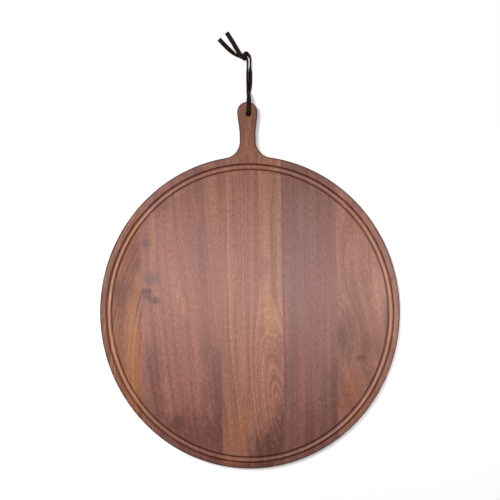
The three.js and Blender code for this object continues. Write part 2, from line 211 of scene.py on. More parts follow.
FRONT_ROUTE = [
    (2.0, 335.0, 1.6, *FLAT),
    (2.0, 331.9, 2.7, *FLAT),
    (2.0, 330.3, 5.9, *FLAT),
    (2.0, 330.1, 10.6, *FLAT),
    (2.0, 330.3, 15.3, *FLAT),
    (2.0, 331.9, 18.5, *FLAT),
    (2.0, 335.4, 19.6, *FLAT),
    (2.5, 345.0, 19.6, *FLAT),
    (3.1, 353.0, 19.6, 1.0, 0.0, -0.09),
    (2.8, 359.6, 17.6, 0.74, 0.0, -0.67),
    (2.2, 364.8, 15.0, 0.58, 0.0, -0.81),
    (0.9, 370.0, 12.7, 0.24, 0.0, -0.97),
    (0.8, 375.3, 9.7, *EDGE),
    (0.8, 380.6, 6.6, *EDGE),
    (0.7, 385.7, 4.7, *EDGE),
    (0.7, 392.0, 4.1, *EDGE),
    (0.7, 397.0, 4.1, *EDGE),
    (0.8, 401.0, 4.1, *EDGE),
    (1.0, 406.0, 4.1, 0.1, 0.0, -0.99),
    (1.1, 411.0, 4.1, 0.05, 0.0, -1.0),
    (1.1, 416.0, 4.1, 0.05, 0.0, -1.0),
    (1.1, 420.5, 4.4, 0.12, 0.03, -0.99),
    (0.1, 424.6, 5.0, 0.35, 0.15, -0.9),
    (-2.6, 426.2, 5.5, 0.5, 0.65, -0.5),
    (-6.0, 426.5, 6.0, 0.3, 0.95, -0.1),
    (-9.2, 428.1, 6.0, 0.72, 0.69, 0.0),
    (-11.9, 432.4, 5.5, 0.84, 0.54, 0.0),
    (-14.5, 436.8, 4.9, 0.86, 0.51, 0.0),
    (-17.1, 441.4, 4.3, 0.86, 0.51, 0.0),
    (-22.7, 451.7, 2.9, 0.87, 0.5, 0.0),
    (-28.9, 462.0, 1.9, 0.87, 0.5, 0.0),
    (-32.8, 468.5, 1.6, 0.87, 0.5, 0.0),
]
print("front route has", len(FRONT_ROUTE), "points")

# %% Route of the back half, which also goes round the knot
BACK_ROUTE = [
    (2.0, 335.4, 1.6, *FLAT),
    (2.2, 346.0, 1.6, *FLAT),
    (2.4, 352.0, 1.6, *FLAT),
    (3.0, 360.0, 3.7, 0.77, 0.0, -0.64),
    (3.4, 365.2, 4.3, 0.5, 0.0, -0.87),
    (4.7, 370.6, 4.3, 0.36, 0.0, -0.93),
    (5.2, 375.7, 4.2, 0.54, 0.0, -0.84),
    (5.5, 380.8, 4.1, 0.66, 0.0, -0.75),
    (5.7, 386.0, 4.0, *LEAN),
    (5.7, 392.0, 4.0, *LEAN),
    (5.9, 401.0, 4.0, *LEAN),
    (6.0, 406.0, 4.3, 0.4, 0.0, -0.92),
    (6.3, 411.0, 4.1, 0.05, 0.0, -1.0),
    (6.3, 416.0, 4.1, 0.05, 0.0, -1.0),
    (6.4, 420.6, 4.2, 0.12, 0.0, -0.99),
    (6.2, 424.3, 4.6, 0.2, 0.0, -0.98),
    (5.0, 427.6, 5.5, 0.42, 0.15, -0.89),
    (2.8, 430.2, 6.9, 0.35, 0.45, -0.82),
    (-0.6, 432.3, 8.4, 0.1, 0.98, -0.15),
    (-2.9, 429.9, 8.9, -0.66, 0.75, 0.0),
    (-3.9, 427.0, 8.8, -0.95, 0.3, 0.1),
    (-3.3, 424.2, 7.7, -0.85, -0.1, 0.5),
    (-2.8, 422.9, 5.4, -0.8, -0.1, 0.6),
    (-2.7, 423.4, 3.1, -0.9, -0.1, 0.3),
    (-2.6, 425.7, 1.9, -1.0, -0.05, 0.0),
    (-3.2, 428.7, 1.9, -0.76, -0.65, 0.0),
    (-5.8, 429.4, 2.1, 0.1, -0.98, 0.15),
    (-9.7, 428.9, 3.2, -0.05, -0.8, 0.6),
    (-14.6, 429.5, 3.9, -0.18, -0.6, 0.78),
    (-19.3, 431.6, 3.9, -0.27, -0.5, 0.82),
    (-24.0, 435.3, 3.2, -0.47, -0.68, 0.56),
    (-31.0, 441.8, 2.1, -0.68, -0.7, 0.2),
    (-37.6, 448.7, 1.6, -0.73, -0.68, 0.0),
    (-45.9, 457.6, 1.6, -0.75, -0.66, 0.0),
]
print("back route has", len(BACK_ROUTE), "points")


def lace_half(name, rows, nodes):
    """One half of the lace: a strip along its route; the solids of that half are hidden."""
    rows = np.array(rows)
    rows[:, :3] *= MM
    points, rings = strip_rings(rows)
    half = bpy.data.objects.new(name, tube_mesh(name, rings))
    bpy.context.scene.collection.objects.link(half)
    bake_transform(half)
    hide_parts(*nodes)
    return half


front_half = lace_half(
    "lace_front", FRONT_ROUTE,
    ["lace_hole_turn", "lace_front_leg", "lace_front_end", "lace_tail_upper"])
back_half = lace_half(
    "lace_back", BACK_ROUTE,
    ["lace_back_leg", "lace_back_end", "lace_knot", "lace_tail_lower"])

# %% [markdown]
# ## The board's outline
#
# The five staves were glued up first and the outline was cut through all of them, so one
# closed line is worked out here: the oval, a fillet at each side of the handle's root, the
# waisted handle and its round end. A curve object could draw it too, but its handles would
# hide the sizes. Worked out as points, every size has a name, and the line can carry a
# profile. Cutting the finished board along the glue lines later gives the five staves.

# %% Sizes of the board
DISC_HALF_WIDTH = 250.0 * MM
DISC_HALF_LENGTH = 260.5 * MM
EDGE_ROUND = 2.5 * MM
HANDLE_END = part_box("stave_centre")[1].y
HEAD_RADIUS = 16.8 * MM
NECK_HALF_WIDTH = 13.3 * MM
HEAD_TAPER = 38.0 * MM
FILLET_RADIUS = 28.0 * MM
RIM_SAMPLES = 640
HANDLE_SAMPLES = 40
thickness = face_height
head_y = HANDLE_END - HEAD_RADIUS
taper_y = head_y - HEAD_TAPER
print("board", round(thickness / MM, 1), "mm thick, handle ends at", round(HANDLE_END / MM))


# %% The outline as one closed line
FILLET_SEARCH = np.linspace(0.3 * np.pi, 0.5 * np.pi, 4000)


def on_oval(angle):
    """Points of the oval: half width x cos along x, half length x sin along y."""
    return np.stack([DISC_HALF_WIDTH * np.cos(angle), DISC_HALF_LENGTH * np.sin(angle)], -1)


def fillet_on_oval():
    """Where the fillet touches the oval, and the fillet's centre.

    The fillet's centre stands one radius off the oval, square to it. Walking the oval's
    upper right part, the wanted place is where that centre is also one radius off the neck.
    """
    points = on_oval(FILLET_SEARCH)
    outward = unit(points / np.array([DISC_HALF_WIDTH, DISC_HALF_LENGTH]) ** 2)
    centre = points + FILLET_RADIUS * outward
    best = np.argmin(np.abs(centre[:, 0] - (NECK_HALF_WIDTH + FILLET_RADIUS)))
    return FILLET_SEARCH[best], centre[best]


def board_outline():
    """The outline anticlockwise from the fillet on the right, round the handle and the oval."""
    touch, centre = fillet_on_oval()
    start = np.arctan2(*(on_oval(touch) - centre)[::-1]) % (2.0 * np.pi)
    turn = np.linspace(start, np.pi, HANDLE_SAMPLES)
    fillet = centre + FILLET_RADIUS * np.stack([np.cos(turn), np.sin(turn)], -1)
    share = np.linspace(0.0, 1.0, HANDLE_SAMPLES)
    swell = 0.5 - 0.5 * np.cos(np.pi * share)
    taper = np.stack([NECK_HALF_WIDTH + (HEAD_RADIUS - NECK_HALF_WIDTH) * swell,
                      taper_y + HEAD_TAPER * share], -1)
    quarter = np.linspace(0.0, 0.5 * np.pi, HANDLE_SAMPLES)[1:]
    head = np.stack([HEAD_RADIUS * np.cos(quarter), head_y + HEAD_RADIUS * np.sin(quarter)], -1)
    right = np.concatenate([fillet, taper, head])
    left = (right * [-1.0, 1.0])[-2::-1]
    rim_angle = np.linspace(np.pi - touch, 2.0 * np.pi + touch, RIM_SAMPLES)[1:-1]
    return np.concatenate([right, left, on_oval(rim_angle)])


def outward_of(loop):
    """The outward direction at each point of a closed anticlockwise line, from its neighbours."""
    run = unit(np.roll(loop, -1, axis=0) - np.roll(loop, 1, axis=0))
    return np.stack([run[:, 1], -run[:, 0]], -1)


outline = board_outline()
print("outline of", len(outline), "points")

# %% [markdown]
# ## Edge, groove and hole
#
# A workshop rounds the edge with a router, runs the crumb groove with a round-nosed cutter
# and eases the hole's rims. Bevels and cuts with other shapes could make them, but they
# leave thin uneven faces, which show in the shine. Each of the three is a small profile
# carried round a closed line, so each is a grid: profile points one way, line points the
# other. The underside of the handle rises a little, so that fingers get under it, and the
# lower rows follow that.

# %% Profiles of the edge, the groove and the hole
GROOVE_HALF_WIDTH = 5.5 * MM
GROOVE_DEPTH = 4.0 * MM
GROOVE_HALF_X = 234.9 * MM
GROOVE_HALF_Y = 244.1 * MM
GROOVE_Y = -1.5 * MM
GROOVE_SAMPLES = 640
ARRIS_STEPS = 6
CUTTER_STEPS = 14
ARRIS = 0.5 * MM
LIP = 0.5 * MM
HOLE_X = 2.0 * MM
HOLE_Y = 331.0 * MM
HOLE_RADIUS = 4.35 * MM
HOLE_EASING = 1.5 * MM
HOLE_SAMPLES = 56
RELIEF_START = 289.0 * MM
RELIEF_END = 311.0 * MM
RELIEF_DEPTH = 3.2 * MM
ROUND_STEPS = 9
QUARTER = np.linspace(0.0, 0.5 * np.pi, ROUND_STEPS)


def underside(y):
    """Height of the underside: flat, then a straight ramp, then flat under the handle's end."""
    return RELIEF_DEPTH * np.clip((y - RELIEF_START) / (RELIEF_END - RELIEF_START), 0.0, 1.0)


def rounded_strip(line, outward, radius, line_underside):
    """Rows of points from the face, over a round of that radius, down and under the same way.

    A row is the line moved back along outward by radius x (1 - sin) and down by
    radius x (1 - cos), with one more row LIP further in at each end to keep the flats flat.
    """
    back = np.concatenate([[radius + LIP], radius * (1.0 - np.sin(QUARTER))])
    down = np.concatenate([[0.0], radius * (1.0 - np.cos(QUARTER))])
    top = line[None] - outward[None] * back[:, None, None]
    top_z = np.broadcast_to((thickness - down)[:, None], top.shape[:2])
    low = top[::-1]
    low_z = line_underside(low[..., 1]) + down[::-1, None]
    return np.concatenate([np.dstack([top, top_z]), np.dstack([low, low_z])])


def groove_strip():
    """Rows of points across the groove, each a closed oval at its own distance and depth.

    The profile is an arc of the cutter's radius, joined to the face by a small round at
    each side: the round's centre lies at radius + round from the cutter's centre.
    """
    radius = (GROOVE_HALF_WIDTH ** 2 + GROOVE_DEPTH ** 2) / (2.0 * GROOVE_DEPTH)
    above = radius - GROOVE_DEPTH
    reach = math.sqrt((radius + ARRIS) ** 2 - (above + ARRIS) ** 2)
    lean = math.atan2(above + ARRIS, reach)
    easing = np.linspace(0.5 * np.pi, np.pi - lean, ARRIS_STEPS)
    arc = np.linspace(-lean, -0.5 * np.pi, CUTTER_STEPS)[1:]
    away = np.concatenate([[reach + LIP], reach + ARRIS * np.cos(easing), radius * np.cos(arc)])
    deep = np.concatenate([[0.0], ARRIS * (np.sin(easing) - 1.0), above + radius * np.sin(arc)])
    offset = np.concatenate([-away, away[-2::-1]])
    height = thickness + np.concatenate([deep, deep[-2::-1]])
    angle = np.linspace(0.0, 2.0 * np.pi, GROOVE_SAMPLES, endpoint=False)
    x = (GROOVE_HALF_X + offset[:, None]) * np.cos(angle)
    y = GROOVE_Y + (GROOVE_HALF_Y + offset[:, None]) * np.sin(angle)
    return np.dstack([x, y, np.broadcast_to(height[:, None], x.shape)])


hole_angle = np.linspace(0.0, 2.0 * np.pi, HOLE_SAMPLES, endpoint=False)
hole_out = -np.stack([np.cos(hole_angle), np.sin(hole_angle)], -1)
hole_line = np.array([HOLE_X, HOLE_Y]) - HOLE_RADIUS * hole_out
rim_rows = rounded_strip(outline, outward_of(outline), EDGE_ROUND, underside)
hole_rows = rounded_strip(hole_line, hole_out, HOLE_EASING, underside)
groove_rows = groove_strip()
print("rim", rim_rows.shape, "groove", groove_rows.shape, "hole", hole_rows.shape)

# %% [markdown]
# ## The flats and the five staves
#
# What is left are flat faces with round holes in them. A single mesh face can't have a hole,
# so triangles between the border lines fill such an area, without adding points. The strips
# and flats are welded into one closed board, and the board is cut at the four glue lines.
# Five separate outlines would do as well, but then the edges might not meet at the seams.

# %% Fill the flats
FILL_INSIDE_BORDER = 1
SAME_POINT = 1e-9


def strip_faces(rows, turned):
    """Quads between neighbouring rows of closed lines, wound the other way if turned."""
    count, around, _ = rows.shape
    index = np.arange(count * around).reshape(count, around)
    after = np.roll(index, -1, axis=1)
    quads = np.stack([index[:-1], index[1:], after[1:], after[:-1]], axis=-1).reshape(-1, 4)
    return quads[:, ::-1] if turned else quads


def inside(loop, points):
    """Which points lie inside a closed line: those with an odd number of crossings to the right."""
    start, end = loop[:, None, :2], np.roll(loop, -1, axis=0)[:, None, :2]
    spans = (start[..., 1] > points[:, 1]) != (end[..., 1] > points[:, 1])
    rise = np.where(spans, end[..., 1] - start[..., 1], 1.0)
    share = (points[:, 1] - start[..., 1]) / rise
    crossing = start[..., 0] + share * (end[..., 0] - start[..., 0])
    return (spans & (crossing > points[:, 0])).sum(0) % 2 == 1


def flat_fill(border, holes, height_of, upward):
    """Triangles between a closed border and the holes in it, lifted to height_of(y)."""
    loops = [border] + holes
    points = np.concatenate([loop[:, :2] for loop in loops])
    starts = np.cumsum([0] + [len(loop) for loop in loops[:-1]])
    lines = np.concatenate([
        np.stack([np.arange(len(loop)), np.roll(np.arange(len(loop)), -1)], -1) + start
        for start, loop in zip(starts, loops)])
    filled = delaunay_2d_cdt(points.tolist(), lines.tolist(), [],
                             FILL_INSIDE_BORDER, SAME_POINT)
    flat = np.array([(point.x, point.y) for point in filled[0]])
    corners = np.array(filled[2])
    middles = flat[corners].mean(axis=1)
    for hole in holes:
        outside = ~inside(hole, middles)
        corners, middles = corners[outside], middles[outside]
    lifted = np.column_stack([flat, height_of(flat[:, 1])])
    return lifted, corners if upward else corners[:, ::-1]


def face_of_board(y):
    """The face is level everywhere."""
    return np.full(len(y), thickness)


parts = [
    (rim_rows.reshape(-1, 3), strip_faces(rim_rows, turned=False)),
    (groove_rows.reshape(-1, 3), strip_faces(groove_rows, turned=True)),
    (hole_rows.reshape(-1, 3), strip_faces(hole_rows, turned=False)),
    flat_fill(rim_rows[0], [groove_rows[-1], hole_rows[0]], face_of_board, upward=True),
    flat_fill(groove_rows[0], [], face_of_board, upward=True),
    flat_fill(rim_rows[-1], [hole_rows[-1]], underside, upward=False),
]
print("parts of the board:", [len(faces) for _, faces in parts])

# %% One closed mesh with a mark along its edge
edge_rows = np.zeros(rim_rows.shape[:2])
edge_rows[1:-1] = np.concatenate([np.sin(QUARTER), np.sin(QUARTER)[::-1]])[:, None]
edge_mark = np.concatenate([edge_rows.ravel(), np.zeros(sum(len(p) for p, _ in parts[1:]))])
firsts = np.cumsum([0] + [len(points) for points, _ in parts[:-1]])
board_faces = sum(((faces + first).tolist() for (_, faces), first in zip(parts, firsts)), [])
board_mesh = bpy.data.meshes.new("board")
board_mesh.from_pydata(np.concatenate([points for points, _ in parts]).tolist(), [], board_faces)
edge_layer = board_mesh.attributes.new("edge", "FLOAT", "POINT")
edge_layer.data.foreach_set("value", edge_mark.astype(np.float32))
print("board before welding:", len(board_mesh.vertices), "points,", len(board_faces), "faces")

# %% Cut the board at the glue lines
STAVES = ["stave_left_outer", "stave_left_inner", "stave_centre",
          "stave_right_inner", "stave_right_outer"]
WELD = 1e-6
SHARP_ANGLE = math.radians(40.0)
stave_boxes = [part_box(name) for name in STAVES]
glue_lines = [0.5 * (left[1].x + right[0].x)
              for left, right in zip(stave_boxes[:-1], stave_boxes[1:])]


def cut_away(board, x, side):
    """Cuts a bmesh at one x, drops what lies towards side, and closes the cut."""
    everything = board.verts[:] + board.edges[:] + board.faces[:]
    made = bmesh.ops.bisect_plane(board, geom=everything, dist=WELD, plane_co=(x, 0.0, 0.0),
                                  plane_no=(side, 0.0, 0.0), clear_outer=True)
    cut = [part for part in made["geom_cut"] if isinstance(part, bmesh.types.BMEdge)]
    bmesh.ops.contextual_create(board, geom=cut)


def stave(name, left, right):
    """The board between two glue lines, as an object that stands for one solid."""
    piece = bmesh.new()
    piece.from_mesh(board_mesh)
    bmesh.ops.remove_doubles(piece, verts=piece.verts[:], dist=WELD)
    if left is not None:
        cut_away(piece, left, -1.0)
    if right is not None:
        cut_away(piece, right, 1.0)
    bmesh.ops.recalc_face_normals(piece, faces=piece.faces[:])
    bmesh.ops.triangulate(piece, faces=[face for face in piece.faces if len(face.verts) > 4])
    mesh = bpy.data.meshes.new("board_" + name)
    piece.to_mesh(mesh)
    piece.free()
    mesh.polygons.foreach_set("use_smooth", np.ones(len(mesh.polygons), bool))
    mesh.set_sharp_from_angle(angle=SHARP_ANGLE)
    made = bpy.data.objects.new("board_" + name, mesh)
    bpy.context.scene.collection.objects.link(made)
    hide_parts(name)
    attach(made, "board")
    return made


stave_objects = {}
for name, left, right in zip(STAVES, [None] + glue_lines, glue_lines + [None]):
    stave_objects[name] = stave(name, left, right)
    print(name, "has", len(stave_objects[name].data.polygons), "faces")
bpy.data.meshes.remove(board_mesh)

# %% [markdown]
# ## Words for building shaders
#
# A shader is a small network, and written out link by link it is hard to read. A few
# helpers let a node be written as one line: its kind, its inputs, its settings. An input
# takes a plain value or another node's output.

# %% Node helpers
def put(socket, value):
    """Links another node's output to a socket, or sets a plain value on it."""
    if isinstance(value, bpy.types.NodeSocket):
        socket.id_data.links.new(value, socket)
    else:
        socket.default_value = value


def node(tree, kind, inputs=(), **settings):
    """A new shader node with its settings and inputs filled in."""
    made = tree.nodes.new("ShaderNode" + kind)
    for key, value in settings.items():
        setattr(made, key, value)
    for key, value in dict(inputs).items():
        put(made.inputs[key], value)
    return made


def maths(tree, operation, first, second=0.0, third=0.0):
    """One number worked out from up to three."""
    inputs = {0: first, 1: second, 2: third}
    return node(tree, "Math", inputs, operation=operation).outputs[0]


def times(tree, first, second):
    """first x second."""
    return maths(tree, "MULTIPLY", first, second)


def share_of(tree, value, gain, start):
    """value x gain + start."""
    return maths(tree, "MULTIPLY_ADD", value, gain, start)


def ramp(tree, value, low, high, start=0.0, end=1.0):
    """A smooth step: start where value is low, end where it is high."""
    inputs = {"Value": value, "From Min": low, "From Max": high, "To Min": start, "To Max": end}
    made = node(tree, "MapRange", inputs, interpolation_type="SMOOTHSTEP")
    return made.outputs["Result"]


def distance(tree, first, second):
    """sqrt(first^2 + second^2)."""
    squares = maths(tree, "ADD", times(tree, first, first), times(tree, second, second))
    return maths(tree, "SQRT", squares)


def blend_colour(tree, share, first, second, how="MIX"):
    """A colour between first and second, by share."""
    made = node(tree, "Mix", data_type="RGBA", blend_type=how)
    for key, value in {"Factor_Float": share, "A_Color": first, "B_Color": second}.items():
        put(next(socket for socket in made.inputs if socket.identifier == key), value)
    return next(socket for socket in made.outputs if socket.identifier == "Result_Color")


def noise(tree, vector, detail=2.0, roughness=0.5):
    """Soft noise between about 0.2 and 0.8, one wave per unit of vector."""
    inputs = {"Vector": vector, "Scale": 1.0, "Detail": detail, "Roughness": roughness}
    return node(tree, "TexNoise", inputs).outputs["Fac"]


def stretched(tree, vector, scales, shift=0.0):
    """The vector multiplied by a scale for each axis and moved along its first axis."""
    scaled = node(tree, "VectorMath", {0: vector, 1: scales}, operation="MULTIPLY").outputs[0]
    offset = node(tree, "CombineXYZ", {"X": shift}).outputs[0]
    return node(tree, "VectorMath", {0: scaled, 1: offset}, operation="ADD").outputs[0]


def grey(tree, level):
    """A colour with the same level in red, green and blue."""
    return node(tree, "CombineColor", {0: level, 1: level, 2: level}).outputs[0]


def paint(red, green, blue):
    """A colour as a screen gives it, 0 to 255, in the linear light that shaders use."""
    screen = np.array([red, green, blue]) / 255.0
    linear = np.where(screen <= 0.04045, screen / 12.92, ((screen + 0.055) / 1.055) ** 2.4)
    return (*linear.tolist(), 1.0)


# %% Node groups
def new_group(name, inputs, outputs):
    """An empty shader group with named sockets; gives its tree, inputs and outputs."""
    tree = bpy.data.node_groups.new(name, "ShaderNodeTree")
    for label, kind in inputs.items():
        tree.interface.new_socket(label, in_out="INPUT", socket_type="NodeSocket" + kind)
    for label, kind in outputs.items():
        tree.interface.new_socket(label, in_out="OUTPUT", socket_type="NodeSocket" + kind)
    start = tree.nodes.new("NodeGroupInput")
    end = tree.nodes.new("NodeGroupOutput")
    return tree, start.outputs, end.inputs


def use_group(tree, group, inputs):
    """Places a group in a tree, fills its inputs in and gives its outputs."""
    placed = tree.nodes.new("ShaderNodeGroup")
    placed.node_tree = group
    for key, value in inputs.items():
        put(placed.inputs[key], value)
    return placed.outputs


# %% [markdown]
# ## Walnut figure
#
# Growth rings are nested round the heart of the log. A stave is a slice through them, so
# its lines are the places that lie equally far from the heart line: straight where the
# heart is far to one side, and arches and lenses where it passes close under the face.
# That is a distance, and the same sum gives every stave; only the heart's place differs.
# A picture of wood could be laid on instead, but it would smear down the sides. Rings that
# are worked out in space run through the board, so the face, the groove and the edge show
# the same wood.

# %% Sockets and waves of the figure
FIGURE_INPUTS = {
    "Vector": "Vector", "Seed": "Float",
    "Heart X": "Float", "Heart Lean": "Float",
    "Heart Depth": "Float", "Heart Slope": "Float", "Heart Level": "Float",
    "Ring Width": "Float", "Wander": "Float",
    "Bow": "Float", "Bow Y": "Float",
    "Knot Place": "Vector", "Knot Push": "Float", "Knot Reach": "Float",
}
FIGURE_OUTPUTS = {"Rings": "Float", "Bands": "Float", "Streaks": "Float",
                  "Fibres": "Float", "Pores": "Float"}
HEART_EASING = 0.06
SLOW_WAVES = (11.0, 2.2, 11.0)
QUICK_WAVES = (55.0, 9.0, 55.0)
QUICK_SHARE = 0.08
WANDER_MIDDLE = 0.54
DEPTH_WANDER = 0.35
BAND_SCALE = 0.23
RINGS_FAINT = 46.0 * MM
RINGS_CLEAR = 20.0 * MM
CLEAR_GAIN = 1.9
STREAK_WAVES = (130.0, 4.0, 130.0)
FIBRE_WAVES = (560.0, 140.0, 560.0)
PORE_WAVES = (1300.0, 220.0, 1300.0)
NOISE_SPAN = (0.3, 0.7)
PORE_SPAN = (0.58, 0.7)
print("a figure has", len(FIGURE_INPUTS), "inputs and", len(FIGURE_OUTPUTS), "outputs")


# %% Group: rings, streaks and pores of a walnut stave
def walnut_figure():
    """Rings as noise along the distance from a heart line, with streaks and pores along y.

    x is first bent by bow x (y - bow y) squared, pushed aside by a knot as a bell curve,
    and moved by noise. The heart line leans sideways and sinks as y grows, both by a share
    of y, and past y = heart level it runs straight. The distance from it is
    sqrt(side^2 + depth^2), and where that is small the rings stand out more. The waves are
    counted per metre along x, y and z.
    """
    tree, given, made = new_group("walnut_figure", FIGURE_INPUTS, FIGURE_OUTPUTS)
    place = node(tree, "SeparateXYZ", {0: given["Vector"]}).outputs
    from_bow = maths(tree, "SUBTRACT", place["Y"], given["Bow Y"])
    bowed = times(tree, times(tree, from_bow, from_bow), given["Bow"])
    to_knot = node(tree, "VectorMath", {0: given["Vector"], 1: given["Knot Place"]},
                   operation="DISTANCE").outputs["Value"]
    knot_share = maths(tree, "DIVIDE", to_knot, given["Knot Reach"])
    bell = maths(tree, "EXPONENT", times(tree, times(tree, knot_share, knot_share), -1.0))
    pushed = times(tree, bell, given["Knot Push"])
    slow = noise(tree, stretched(tree, given["Vector"], SLOW_WAVES, given["Seed"]))
    quick = noise(tree, stretched(tree, given["Vector"], QUICK_WAVES, given["Seed"]))
    both = share_of(tree, quick, QUICK_SHARE, slow)
    wander = times(tree, maths(tree, "SUBTRACT", both, WANDER_MIDDLE), given["Wander"])
    straight = maths(tree, "SUBTRACT", maths(tree, "SUBTRACT", place["X"], bowed), pushed)
    across = maths(tree, "ADD", straight, wander)
    sinking = maths(tree, "SMOOTH_MIN", place["Y"], given["Heart Level"], HEART_EASING)
    sunk = share_of(tree, sinking, given["Heart Slope"], given["Heart Depth"])
    depth = maths(tree, "ADD", share_of(tree, wander, DEPTH_WANDER, sunk), place["Z"])
    heart = share_of(tree, sinking, given["Heart Lean"], given["Heart X"])
    side = maths(tree, "SUBTRACT", across, heart)
    from_heart = distance(tree, side, depth)
    ring_at = maths(tree, "DIVIDE", from_heart, given["Ring Width"])
    seeded = maths(tree, "ADD", ring_at, given["Seed"])
    fine = node(tree, "TexNoise", {"W": seeded, "Scale": 1.0, "Detail": 2.0, "Roughness": 0.6},
                noise_dimensions="1D").outputs["Fac"]
    broad = node(tree, "TexNoise", {"W": seeded, "Scale": BAND_SCALE, "Detail": 1.0},
                 noise_dimensions="1D").outputs["Fac"]
    clear = ramp(tree, from_heart, RINGS_FAINT, RINGS_CLEAR, 1.0, CLEAR_GAIN)
    ring_tone = maths(tree, "SUBTRACT", ramp(tree, fine, *NOISE_SPAN), 0.5)
    put(made["Rings"], share_of(tree, ring_tone, clear, 0.5))
    put(made["Bands"], ramp(tree, broad, *NOISE_SPAN))
    bent = node(tree, "CombineXYZ", {"X": across, "Y": place["Y"], "Z": place["Z"]}).outputs[0]
    streaks = noise(tree, stretched(tree, bent, STREAK_WAVES, given["Seed"]), detail=4.0)
    put(made["Streaks"], ramp(tree, streaks, *NOISE_SPAN))
    fibres = noise(tree, stretched(tree, bent, FIBRE_WAVES, given["Seed"]),
                   detail=3.0, roughness=0.6)
    put(made["Fibres"], ramp(tree, fibres, *NOISE_SPAN))
    pores = noise(tree, stretched(tree, bent, PORE_WAVES, given["Seed"]), detail=1.0)
    put(made["Pores"], ramp(tree, pores, *PORE_SPAN))
    return tree


WALNUT_FIGURE = walnut_figure()
print("walnut figure group has", len(WALNUT_FIGURE.nodes), "nodes")

# %% [markdown]
# ### Patches
#
# Real boards also carry marks that no formula of rings gives: a dark stain beside a knot,
# a golden streak of younger wood. A few dark bands along the rim are painted shade. Each is a
# soft oval with a ragged border, put where the real one is, and mixed over the figure. They
# could be painted into a picture, but an oval can be moved or taken away by itself, and it
# has no pixels that show from close up.

# %% Group: a soft ragged patch
TORN_WAVES = (150.0, 60.0, 1.0)
PATCH_RIM = 1.0
PATCH_CORE = 0.25


def soft_patch():
    """1 inside an oval and 0 outside, with the distance from its middle roughened by noise.

    The distance is counted in half sizes: PATCH_RIM is the border, and from PATCH_CORE
    inward the patch is full.
    """
    tree, given, made = new_group(
        "soft_patch",
        {"Vector": "Vector", "Middle": "Vector", "Half Size": "Vector", "Ragged": "Float"},
        {"Mask": "Float"})
    away = node(tree, "VectorMath", {0: given["Vector"], 1: given["Middle"]},
                operation="SUBTRACT").outputs[0]
    share = node(tree, "VectorMath", {0: away, 1: given["Half Size"]},
                 operation="DIVIDE").outputs[0]
    reach = node(tree, "VectorMath", {0: share}, operation="LENGTH").outputs["Value"]
    torn = noise(tree, stretched(tree, given["Vector"], TORN_WAVES), detail=4.0, roughness=0.6)
    rough = times(tree, maths(tree, "SUBTRACT", torn, 0.5), given["Ragged"])
    put(made["Mask"], ramp(tree, maths(tree, "ADD", reach, rough), PATCH_RIM, PATCH_CORE))
    return tree


SOFT_PATCH = soft_patch()
print("patch group has", len(SOFT_PATCH.nodes), "nodes")

# %% [markdown]
# ### What the cutter and the oil leave, and painted light on the groove and edge
#
# The round-nosed cutter has burnt the groove's walls to two dark lines and left its floor
# lighter, and a painted highlight lies on that floor, strongest where the groove runs along
# the grain. The walls are darker where the groove crosses the grain. Painted shade darkens
# the wall that faces left, most where the groove runs along the grain, and darkens the right
# side more than the left. The rounded edge is darker than the face: partly oil soaked into
# it, partly painted shade.
# Lines painted by hand would drift off the groove, so they are worked out from its oval: a
# place's distance from it is how far the place would have to move along the line to the
# middle.

# %% Colours and shares of the finish and of the painted light
PORE_SHADE = paint(74, 44, 35)
# The groove floor's lighter wood, with a painted highlight on it.
GROOVE_FLOOR_AND_HIGHLIGHT = paint(196, 148, 121)
# Burnt groove walls; the same colour also gives the painted shade on one wall and one side.
GROOVE_SCORCH_AND_SHADE = paint(82, 12, 0)
# The rounded edge's colour: partly oil in its end grain, partly painted shade.
EDGE_SHADE = paint(70, 46, 38)
UPPER_PART = (0.5 * thickness, 0.6 * thickness)
WALL_FROM_FLOOR = (2.4 * MM, 4.3 * MM)
WALL_TO_FACE = (6.0 * MM, 5.0 * MM)
FLOOR_FROM_WALL = (3.4 * MM, 0.4 * MM)
# The least burn and the darkening across the grain; painted shade on the right side and on the wall
# that faces left.
BURN_LEAST, DARKER_ACROSS_GRAIN, SHADE_RIGHT_SIDE, SHADE_FACING_LEFT = 0.42, 0.44, 0.1, 0.24
# Painted highlight on the groove floor, weaker where the groove crosses the grain.
FLOOR_HIGHLIGHT_MOST, FLOOR_HIGHLIGHT_ACROSS = 0.7, -0.44
FIBRE_DARKEST, FIBRE_GAIN = 0.8, 0.4
STREAK_DARKEST, STREAK_GAIN = 0.94, 0.12
PORE_COVER = 0.3
EDGE_OIL_AND_SHADE = (0.0, 0.5)
EDGE_SIDE = (0.9, 1.0, 0.85, 0.5)
SATIN, STREAK_DULL, PORE_DULL, FLOOR_POLISH = 0.3, 0.06, 0.15, 0.08
FIBRE_HEIGHT = 0.3
print("groove floor and walls:", [round(part, 2) for part in GROOVE_FLOOR_AND_HIGHLIGHT + GROOVE_SCORCH_AND_SHADE])


